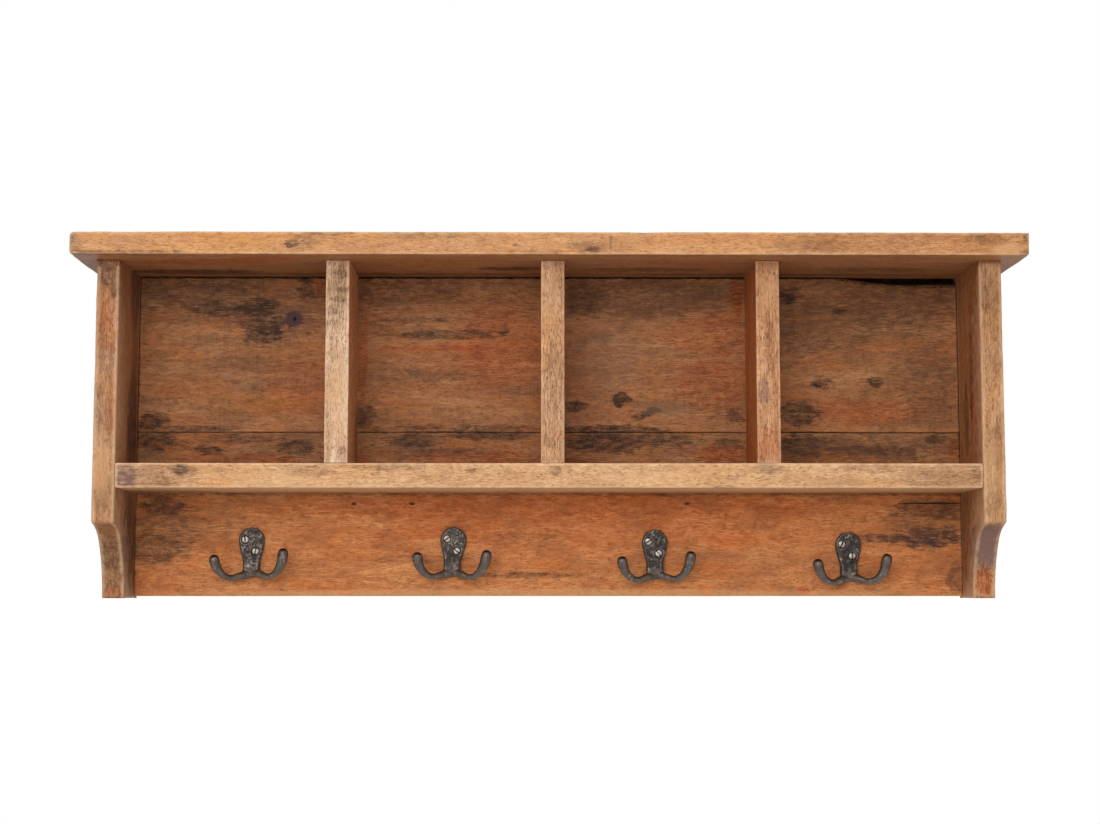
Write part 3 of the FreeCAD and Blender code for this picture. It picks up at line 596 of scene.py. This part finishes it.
for node, board in backBoards.items():
    wood = dict(board["wood"], grain="x", wander=9, face=(-15, 13), rubbed="c79468")
    side = node.split("_")[0]
    label = "hardwood " + node.replace("_", " ") + ", band sawn and waxed"
    look = reclaimedWood(label, wood, board["stainsAndShade"])
    piece = addPiece(side + "BackPlank", boardMesh(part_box(node), board["cut"]), look, node)
    wide, high, deep = nailPits["wide"], nailPits["high"], nailPits["deep"]
    pits = [((x - wide, -deep, z - high), (x + wide, 1, z + high)) for x, z in nailPits[side]]
    if pits:
        cutBoxes(piece, pits)
    backPlanks[side] = piece.data
stainedBelow = -180 * mm  # below the shelf the middle board was sanded and stained with the hook board
backPlanks["middle"].materials.append(backPlanks["hook"].materials[0])
for face in backPlanks["middle"].polygons:
    face.material_index = 1 if face.center.z < stainedBelow and face.normal.y < -0.5 else 0
print("back boards built")


hangerRecess = [((-9.15, -1.5, -27.25), (9.15, 1, 27.25)),  # the plate's bed
                ((-5.5, -11.5, -5.5), (5.5, 1, 16.5))]  # room for a screw head behind the keyhole
sidePanels = {
    "left_side_panel": {
        "wood": {"seed": 13, "body": "b3825e", "pale": "d1a881", "honey": "ba7643", "ash": "906a4b",
                 "deep": "815537", "dark": "543523"},
        "stainsAndShade": [
            ("bark", 0.65, (-466, -117, 36), (13, 12, 13)), ("soot", 0.5, -459, 18, 5, 10),
            ("honey", 0.5, -468, 8, 12, 24), ("rust", 0.6, -466, -20, 12, 30),
            ("umber", 0.2, -466, -10, 14, 50), ("mauve", 0.35, -466, -54, 13, 20),
            ("tan", 0.4, -466, -60, 13, 44), ("rust", 0.3, -458, -110, 8, 24),
            ("umber", 0.3, -466, -112, 13, 34), ("straw", 0.35, -468, -165, 10, 40),
            ("ash", 0.4, -468, -200, 10, 16), ("umber", 0.6, (-466, -80, -268), (0, 40, 46)),
            ("bark", 0.4, (-466, -72, -258), (0, 20, 20)), ("rust", 0.5, (-466, -62, -300), (0, 16, 8)),
            # painted light: the broad straw blot lightens the inner face at x −454
            ("rust", 0.9, (-454, -88, -20), (2.6, 26, 90)), ("straw", 0.3, (-454, -85, -50), (2.6, 40, 130)),
            ("umber", 0.25, (-454, -98, -70), (2.6, 34, 150)),
            ("knot", 0.95, (-454, -42, -118), (2.6, 26, 66)), ("bark", 0.6, (-454, -40, 30), (2.6, 26, 44)),
            ("straw", 0.35, (-454, -18, -60), (2.6, 3.5, 120)),
            # painted shade: the gap line at y −15 darkens the corner by the back boards
            ("gap", 2.5, (-454, -15, -60), (2.6, 1.1, 140)),
            ("bark", 0.75, (-454, -45, -250), (2.6, 40, 60))],
        "chips": [(-117, 30, 14, 1.6), (-117, -60, 9, 1.2), (-114, -225, 8, 1.4)]},
    "right_side_panel": {
        "wood": {"seed": 14, "body": "bf8c62", "pale": "daad82", "honey": "c38248", "ash": "9b7650",
                 "deep": "8a5b3a", "dark": "5a3923"},
        "stainsAndShade": [
            ("umber", 0.3, 466, -20, 14, 60), ("straw", 0.3, 466, -180, 12, 44),
            ("umber", 0.35, 470, -150, 5, 50), ("mauve", 1.7, (466, -90, -252), (0, 40, 27)),
            ("rust", 0.9, (464, -64, -286), (12, 18, 14)), ("umber", 0.35, (464, -64, -284), (12, 18, 14)),
            ("umber", 0.45, 460, 20, 7, 30), ("umber", 0.4, (454, -98, -90), (2.6, 30, 160)),
            ("rust", 0.9, (454, -92, -70), (2.6, 34, 130)), ("rust", 0.7, (454, -76, -262), (2.6, 44, 60)),
            ("bark", 0.55, (454, -75, -60), (2.6, 9, 70)), ("soot", 0.6, (454, -50, -110), (2.6, 12, 40)),
            # painted shade: the gap line at y −15 darkens the corner by the back boards
            ("straw", 0.35, (454, -18, -60), (2.6, 3.5, 120)), ("gap", 2.5, (454, -15, -60), (2.6, 1.1, 140)),
            ("umber", 0.4, 462, -205, 10, 16), ("umber", 0.6, (454, -45, -250), (2.6, 40, 60))],
        "chips": [(-117, -40, 9, 1.3), (-117, -190, 14, 1.6), (-114, -225, 9, 1.8)]},
}
for number, (node, panel) in enumerate(sidePanels.items()):
    wood = dict(panel["wood"], grain="z", wander=8, face=(-117, 9), rubbed="e2bb94", worn=0.4, old=1,
                oldAndShadedTone="e6d6ca", figure=0.75, warm=0.6, dull=0.5, mottle=0.42, fibre=0.4, pore=0.7,
                speck=0.7)
    label = "hardwood " + node.replace("_", " ") + ", band sawn and waxed"
    look = reclaimedWood(label, wood, panel["stainsAndShade"])
    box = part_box(node)
    piece = addPiece(node.split("_")[0] + "PanelPlank", panelMesh(box, 81 + number * 9, panel["chips"]), look,
                     node)
    middle = np.array([round(float(box[0][0] + box[1][0]) / 2 / mm, 3), 0, 0])
    cutBoxes(piece, [(lo + middle, hi + middle) for lo, hi in hangerRecess])
    weigh = piece.modifiers.new("weigh", "WEIGHTED_NORMAL")
    weigh.keep_sharp = True
print("side panels built")


# double coat hooks: plate and two prongs as rough skins, fused and softened by a voxel remesh
coatHook = {
    "plateHeight": 52, "plateHalf": 14.2, "plateThick": 5, "plateFoot": 0.4, "plateRows": (30, 14),
    "corner": 2.2, "neckHalf": 9.1, "neckThick": 9.6, "neckTop": 12, "swellTop": 34, "swellFoot": 4,
    "chinTop": 9.5, "chinDeep": 2.8, "splay": 57, "lowOut": 23.5, "lows": (-3.0, -1.5), "tops": (22.2, 28.4),
    "bendFoot": 13.5, "bendTip": 26.5, "bendRows": 18, "lean": 79, "sides": 24,
    "rootSlope": 14, "rootForward": 2.4, "rootBack": 1.5, "rootLift": 0.4, "rootRows": 8,
    "rootRadius": 4.9, "waistRadius": 3.2, "tipRadius": 5.8, "tipRound": 5.4,
    "screws": ((-7.15, 38.8), (4.2, 26.0)), "sinkRadius": 4.7, "sinkSlope": 0.8, "sinkFloor": 3.6,
    "voxel": 0.75, "lump": (6.5, 0.28), "grit": (2.4, 0.1), "board": -15,
    "plateTone": (5, 6, 14.5), "tipShade": (3.8, 3, 25),  # start and fade in height, and reach to the sides
    "places": ((-325.2, -280.0, -0.5), (-106.7, -279.5, 3.0), (115.6, -282.3, 0.5), (328.0, -285.0, 0.5)),
    "slots": ((96, 78), (40, -35), (30, -50), (65, 90)),
}


def hookBlank(hook):
    work = bmesh.new()

    def skin(rings):
        rows = [[work.verts.new(Vector(p) * mm) for p in ring] for ring in rings]
        for a, b in zip(rows, rows[1:]):
            for i in range(len(a)):
                j = (i + 1) % len(a)
                work.faces.new((a[i], a[j], b[j], b[i]))
        work.faces.new(rows[0][::-1])
        work.faces.new(rows[-1])

    wide, neckTop, swellTop = hook["plateHalf"], hook["neckTop"], hook["swellTop"]
    crownZ = hook["plateHeight"] - wide
    flankRows, crownRows = hook["plateRows"]
    crown = crownZ + wide * np.sin(np.linspace(0.1, 1.5, crownRows))
    sections = []
    for z in np.concatenate([np.linspace(hook["plateFoot"], crownZ, flankRows), crown]):
        if z > crownZ:
            half = math.sqrt(max(wide ** 2 - (z - crownZ) ** 2, 0.2))
        else:
            half = between(hook["neckHalf"], wide, eased((z - neckTop) / (crownZ - neckTop)))
        swell = eased((swellTop - z) / (swellTop - hook["swellFoot"]))
        thick = between(hook["plateThick"], hook["neckThick"], swell)
        thick -= hook["chinDeep"] * max(1 - z / hook["chinTop"], 0) ** 2  # the neck falls back to the prongs
        corner = min(hook["corner"], half * 0.8)
        flank = [(half - corner + corner * math.cos(a), -(thick - corner) - corner * math.sin(a), z)
                 for a in np.radians([0, 22, 45, 68, 90])]
        sections.append([(-half, 0, z), (half, 0, z)] + flank + [(-x, y, z) for x, y, z in flank[::-1]])
    skin(sections)

    splay, slope, lean = (math.radians(hook[key]) for key in ("splay", "rootSlope", "lean"))
    turn = (lean + slope) / hook["bendRows"]
    for side, low, top in zip((-1, 1), hook["lows"], hook["tops"]):
        outward = Vector((side * math.sin(splay), -math.cos(splay), 0))
        out = hook["lowOut"] - hook["bendFoot"] * math.sin(slope)
        z = low + hook["bendFoot"] * (1 - math.cos(slope))
        climb = out * math.tan(slope)
        path = [(-hook["rootBack"], z + climb + hook["rootLift"], -slope, hook["rootRadius"])]
        for s in np.linspace(0, 1, hook["rootRows"]):
            fat = between(hook["waistRadius"], hook["rootRadius"], math.cos(s * math.pi / 2))
            path.append((out * s, z + climb * (1 - s), -slope, fat))
        for s in np.linspace(0, 1, hook["bendRows"] + 1)[1:]:  # the bend opens and the prong swells
            a = between(-slope, lean, s)
            far = between(hook["bendFoot"], hook["bendTip"], s) * turn
            out, z = out + far * math.cos(a - turn / 2), z + far * math.sin(a - turn / 2)
            fat = between(hook["tipRadius"], hook["waistRadius"], math.cos(s * math.pi / 2))
            path.append((out, z, a, fat))
        for a in np.radians([0, 20, 40, 60, 78]):  # the straight end with its rounded tip
            rise = top - z - hook["tipRound"] * (1 - math.sin(a))
            fat = hook["tipRadius"] - hook["tipRound"] * (1 - math.cos(a))
            path.append((out + rise / math.tan(lean), z + rise, lean, fat))
        rings = []
        for out, z, a, fat in path:
            ahead = outward * math.cos(a) + Vector((0, 0, math.sin(a)))
            over = Vector((0, 0, math.cos(a))) - outward * math.sin(a)
            across = ahead.cross(over)
            centre = outward * out + Vector((0, -hook["rootForward"], z))
            rings.append([centre + (over * math.cos(b) + across * math.sin(b)) * fat
                          for b in np.linspace(0, 2 * math.pi, hook["sides"] + 1)[:-1]])
        skin(rings)
    bmesh.ops.recalc_face_normals(work, faces=work.faces)
    blank = objectFrom(work, "hookBlank")
    applyModifier(blank, "REMESH", mode="VOXEL", voxel_size=hook["voxel"] * mm)
    applyModifier(blank, "SMOOTH", factor=0.5, iterations=6)
    points = np.array([v.co[:] for v in blank.data.vertices])
    normals = np.array([v.normal[:] for v in blank.data.vertices])
    faces = [tuple(p.vertices) for p in blank.data.polygons]
    bpy.data.meshes.remove(blank.data)
    return points, normals, faces


# grey iron, sand cast, blackened and waxed
# Mould sand leaves a lumpy skin: its high places are rubbed to bare grey metal, its hollows hold grime.
def castIron():
    material, add, place = newSurface("grey iron, sand cast and blackened")
    lumps = add("TexNoise", {"Vector": place, "Scale": 1 / 5, "Detail": 5, "Roughness": 0.6})[0]
    grit = add("TexNoise", {"Vector": place, "Scale": 1 / 1.2, "Detail": 3})[0]  # mould sand
    fleck = add("TexNoise", {"Vector": place, "Scale": 1 / 2.2, "Detail": 4, "Roughness": 0.7})[0]
    handled = add("TexNoise", {"Vector": place, "Scale": 1 / 11, "Detail": 2})[0]
    high = add("NewGeometry")["Pointiness"]
    tipShadeAndPlate = add("Attribute", attribute_name="arris")["Fac"]  # below 0 on the plate
    plate = add("MapRange", {0: tipShadeAndPlate, 1: -0.1, 2: -0.9})[0]
    bare = add("MapRange", {0: fleck, 1: 0.50, 2: 0.66})[0]  # rubbed back to the metal
    patches = add("MapRange", {0: handled, 1: 0.46, 2: 0.64, 3: 0.05})[0]
    bare = add("Math", {0: bare, 1: patches}, operation="MULTIPLY")[0]
    tint = toLinear("594e48")
    coats = ((plate, 0, 1, 1, "282220"), (lumps, 0.50, 0.66, 0.5, "6a6058"),  # range, strength, colour
             (grit, 0.52, 0.70, 0.5, "241c18"), (lumps, 0.44, 0.28, 0.75, "2b221d"),
             (high, 0.505, 0.56, 0.75, "7f756b"), (bare, 0, 1, 0.68, "aca294"),
             # the last coat is painted shade on the tips' tops
             (high, 0.495, 0.44, 0.8, "1b1511"), (tipShadeAndPlate, 0.1, 0.7, 0.95, "110d0b"))
    for source, low, top, strength, colour in coats:
        share = add("MapRange", {0: source, 1: low, 2: top, 4: strength})[0]
        tint = add("Mix", {0: share, 6: tint, 7: toLinear(colour)}, data_type="RGBA")[2]
    rough = add("MapRange", {0: lumps, 1: 0.3, 2: 0.7, 3: 0.55, 4: 0.34})[0]
    height = add("Math", {0: grit, 1: 0.5, 2: lumps}, operation="MULTIPLY_ADD")[0]
    bump = add("Bump", {"Height": height, "Strength": 0.5, "Distance": 0.6 * mm})[0]
    shader = add("BsdfPrincipled", {"Base Color": tint, "Roughness": rough, "Normal": bump, "Metallic": 0.75})
    add("OutputMaterial", {"Surface": shader[0]})
    return material


def turned(points, degrees, at):
    # turned anticlockwise as seen from the front, then set at a place in mm
    a = math.radians(degrees)
    x, y, z = points.T
    spun = np.stack([x * math.cos(a) - z * math.sin(a), y, z * math.cos(a) + x * math.sin(a)], -1)
    return spun + np.array(at) * mm


iron = castIron()
blankPoints, blankNormals, blankFaces = hookBlank(coatHook)
for number, (x, z, tilt) in enumerate(coatHook["places"]):
    (lumpSize, lumpHigh), (gritSize, gritHigh) = coatHook["lump"], coatHook["grit"]
    cast = ripple(blankPoints, lumpSize, 100 + number) * lumpHigh
    cast += ripple(blankPoints, gritSize, 200 + number) * gritHigh
    points = blankPoints + blankNormals * (cast[:, None] * mm)
    points[:, 1] = np.minimum(points[:, 1], 0)
    for sx, sz in coatHook["screws"]:  # countersinks
        away = np.hypot(points[:, 0] - sx * mm, points[:, 2] - sz * mm) / mm
        sunk = np.clip((coatHook["sinkRadius"] - away) / coatHook["sinkSlope"], 0, 1)
        sunk *= points[:, 1] < -2 * mm  # the rear face stays flat
        points[:, 1] = between(points[:, 1], -coatHook["sinkFloor"] * mm, sunk)
    wide, high = points[:, 0] / mm, points[:, 2] / mm
    foot, fade, reach = coatHook["plateTone"]
    tipShadeAndPlate = -np.clip((high - foot) / fade, 0, 1) * (abs(wide) < reach)  # the plate is blacker than the prongs
    below, fade, reach = coatHook["tipShade"]
    for side, top in zip((-1, 1), coatHook["tops"]):
        tipShadeAndPlate += np.clip((high - top + below) / fade, 0, 1) * (wide * side > reach)  # painted shade darkens the tips' tops
    mesh = newMesh(turned(points, -tilt, (x, coatHook["board"], z)), blankFaces, tipShadeAndPlate)
    addPiece("castHook%d" % (number + 1), mesh, iron, "coat_hook_%d" % (number + 1))


# slotted countersunk screws: a lathed outline of radius and depth, with the slot cut across the head
slottedScrew = {"outline": ((0, -0.35), (1.6, -0.28), (2.9, -0.1), (3.55, 0.1), (3.8, 0.3), (3.75, 0.55),
                            (2.0, 2.7), (1.9, 14.5), (0.8, 15.7), (0, 16)),
                "slotHalf": 0.8, "slotFloor": 1.25, "slotReach": 6, "slotMouth": -3,
                "sides": 40, "face": -4.5}


def screwBlank(screw):
    work = bmesh.new()
    rows = []
    for r, y in screw["outline"]:
        ring = np.linspace(0, 2 * math.pi, screw["sides"] + 1)[:-1] if r else [0]
        rows.append([work.verts.new((r * math.cos(a) * mm, y * mm, r * math.sin(a) * mm)) for a in ring])
    for a, b in zip(rows, rows[1:]):
        for i in range(screw["sides"]):
            j = (i + 1) % screw["sides"]
            corners = [a[i % len(a)], a[j % len(a)], b[j % len(b)], b[i % len(b)]]
            work.faces.new([v for k, v in enumerate(corners) if v not in corners[:k]])
    bmesh.ops.recalc_face_normals(work, faces=work.faces)
    blank = objectFrom(work, "screwBlank")
    half, reach = screw["slotHalf"], screw["slotReach"]
    cutBoxes(blank, [((-reach, screw["slotMouth"], -half), (reach, screw["slotFloor"], half))])
    points = np.array([v.co[:] for v in blank.data.vertices])
    faces = [tuple(p.vertices) for p in blank.data.polygons]
    inSlot = [max(abs(points[i][2]) for i in f) < 1.01 * half * mm for f in faces]  # inside the slot
    bpy.data.meshes.remove(blank.data)
    return points, faces, inSlot


# plated or rusted steel: a soft mottle of crystals or rust, brighter and smoother where it is clean
def platedSteel(name, colour, dull, sheen):
    material, add, place = newSurface(name)
    spangle = add("TexNoise", {"Vector": place, "Scale": 1 / 2.5, "Detail": 4})[0]
    share = add("MapRange", {0: spangle, 1: 0.4, 2: 0.7, 4: 0.7})[0]
    tint = add("Mix", {0: share, 6: toLinear(colour), 7: toLinear(dull)}, data_type="RGBA")[2]
    rough = add("MapRange", {0: spangle, 1: 0.3, 2: 0.7, 3: sheen, 4: sheen + 0.18})[0]
    bump = add("Bump", {"Height": spangle, "Strength": 0.15, "Distance": 0.3 * mm})[0]
    shader = add("BsdfPrincipled", {"Base Color": tint, "Roughness": rough, "Normal": bump, "Metallic": 1})
    add("OutputMaterial", {"Surface": shader[0]})
    return material


# grey heads dulled by handling, with near-black painted shade in their slots
screwSteel = platedSteel("steel, turned and zinc plated", "b0a89f", "857d75", 0.44)
slotShade = platedSteel("painted shade in the slots", "1c1512", "0f0b09", 0.8)
screwPoints, screwFaces, screwInSlot = screwBlank(slottedScrew)
allPoints, allFaces = [], []
for (x, z, tilt), slots in zip(coatHook["places"], coatHook["slots"]):
    for (sx, sz), slot in zip(coatHook["screws"], slots):
        shift = len(allPoints) * len(screwPoints)
        allFaces += [tuple(i + shift for i in f) for f in screwFaces]
        seated = turned(screwPoints, slot - tilt, (sx, slottedScrew["face"], sz))
        allPoints.append(turned(seated, -tilt, (x, coatHook["board"], z)))
screwHeads = newMesh(np.concatenate(allPoints), allFaces)
screwHeads.set_sharp_from_angle(angle=math.radians(35))
addPiece("slottedScrews", screwHeads, screwSteel, "hook_screws")
screwHeads.materials.append(slotShade)
for number, face in enumerate(screwHeads.polygons):
    face.material_index = 1 if screwInSlot[number % len(screwFaces)] else 0
print("hooks and screws built")


# CAD nodes that keep their shape: joinery and hanging hardware
tenonWood = {"grain": "x", "seed": 20, "wander": 4, "body": "b98a62", "pale": "cfa27a", "honey": "bd8650",
             "ash": "9d7654", "deep": "8f6342", "dark": "634028", "rubbed": "d8b08a", "worn": 0,
             "warm": 0.5, "dull": 0.5, "fibre": 0.5, "pore": 0.4, "speck": 0.3}
tenonTimber = reclaimedWood("hardwood tenons, sawn", tenonWood, [])  # clean pale wood with no stains
# dull brown-black nail heads, and bright plates that are hardly worn
nailIron = platedSteel("wrought iron nails, sheared and rusted", "54463d", "3a2a20", 0.55)
hangerSteel = platedSteel("mild steel plate, stamped and zinc plated", "b4b1aa", "8a867f", 0.33)
kept = {"top_tenons": tenonTimber, "divider_tenons": tenonTimber, "shelf_tenons": tenonTimber,
        "hook_board_tenons": tenonTimber, "back_board_nails": nailIron, "left_hanger_plate": hangerSteel,
        "right_hanger_plate": hangerSteel, "hanger_screws": screwSteel}
for node, material in kept.items():
    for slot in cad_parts[node].material_slots:
        slot.material = material
print("kept nodes dressed")


# studio: pale floor below the view, one soft key above the lens, white surround
studio = {"floorSize": (10.0, 9.4), "floorMiddle": -2.2, "floorZ": -0.95, "around": 0.42, "whitened": 0.8,
          "lamps": {"softbox": ((-0.55, -3.0, 0.5), (2.2, 1.4), 44, (0, 0, -0.1)),  # place, size, watts, aim
                    "overhead bank": ((0, -1.6, 2.6), (4.0, 3.0), 60, (0, -1.6, 0))},
          "camera": (-0.0151, -2.0, -0.2955), "pitch": 5.6146, "yaw": 0.4637,
          "focal": 1803.93, "frameWide": 1100, "sensor": 36}  # the first two in the photograph's pixels


def raySeen(add):
    # 1 for what the lens, a shiny surface or glass sees, 0 for the light that falls on the object
    ray = add("LightPath")
    seen = add("Math", {0: ray["Is Camera Ray"], 1: ray["Is Glossy Ray"]}, operation="MAXIMUM")[0]
    return add("Math", {0: seen, 1: ray["Is Transmission Ray"]}, operation="MAXIMUM")[0]


# paper, uncoated and matt: an even white with a faint cloudiness, on which only the shadow shows
paper, add, place = newSurface("matt white paper roll")
cloudy = add("TexNoise", {"Vector": place, "Scale": 1 / 250, "Detail": 3})[0]
tone = add("Mix", {0: cloudy, 6: toLinear("efedea"), 7: toLinear("f4f3f1")}, data_type="RGBA")[2]
lit = add("BsdfPrincipled", {"Base Color": tone, "Roughness": 0.9})[0]
whitened = add("Math", {0: raySeen(add), 1: studio["whitened"]}, operation="MULTIPLY")[0]
glow = add("Emission", {"Color": (1, 1, 1, 1), "Strength": 1})[0]
add("OutputMaterial", {"Surface": add("MixShader", {0: whitened, 1: lit, 2: glow})[0]})

work = bmesh.new()
bmesh.ops.create_grid(work, x_segments=8, y_segments=8, size=0.5)
wide, deep = studio["floorSize"]
for vert in work.verts:
    vert.co = Vector((vert.co.x * wide, vert.co.y * deep + studio["floorMiddle"], studio["floorZ"]))
floor = objectFrom(work, "studioFloor")
floor.data.materials.append(paper)

for name, (at, size, power, aim) in studio["lamps"].items():
    lampData = bpy.data.lights.new(name, "AREA")
    lampData.shape = "RECTANGLE"
    lampData.size, lampData.size_y = size
    lampData.energy = power
    lamp = addObject(name, lampData)
    lamp.location = at
    lamp.rotation_euler = (Vector(aim) - lamp.location).to_track_quat("-Z", "Y").to_euler()

world = bpy.data.worlds.new("white surround")
bpy.context.scene.world = world
world.use_nodes = True
world.node_tree.nodes.clear()
add = partial(addNode, world.node_tree)
level = add("MapRange", {0: raySeen(add), 3: studio["around"]})[0]
add("OutputWorld", {"Surface": add("Background", {"Color": (1, 1, 1, 1), "Strength": level})[0]})

cameraData = bpy.data.cameras.new("photoCamera")
cameraData.sensor_width = studio["sensor"]
cameraData.lens = studio["focal"] * studio["sensor"] / studio["frameWide"]
camera = addObject("photoCamera", cameraData)
camera.location = studio["camera"]
camera.rotation_euler = (math.radians(90 + studio["pitch"]), 0, -math.radians(studio["yaw"]))
bpy.context.scene.camera = camera
bpy.context.scene.view_settings.view_transform = "Standard"
print("studio set")
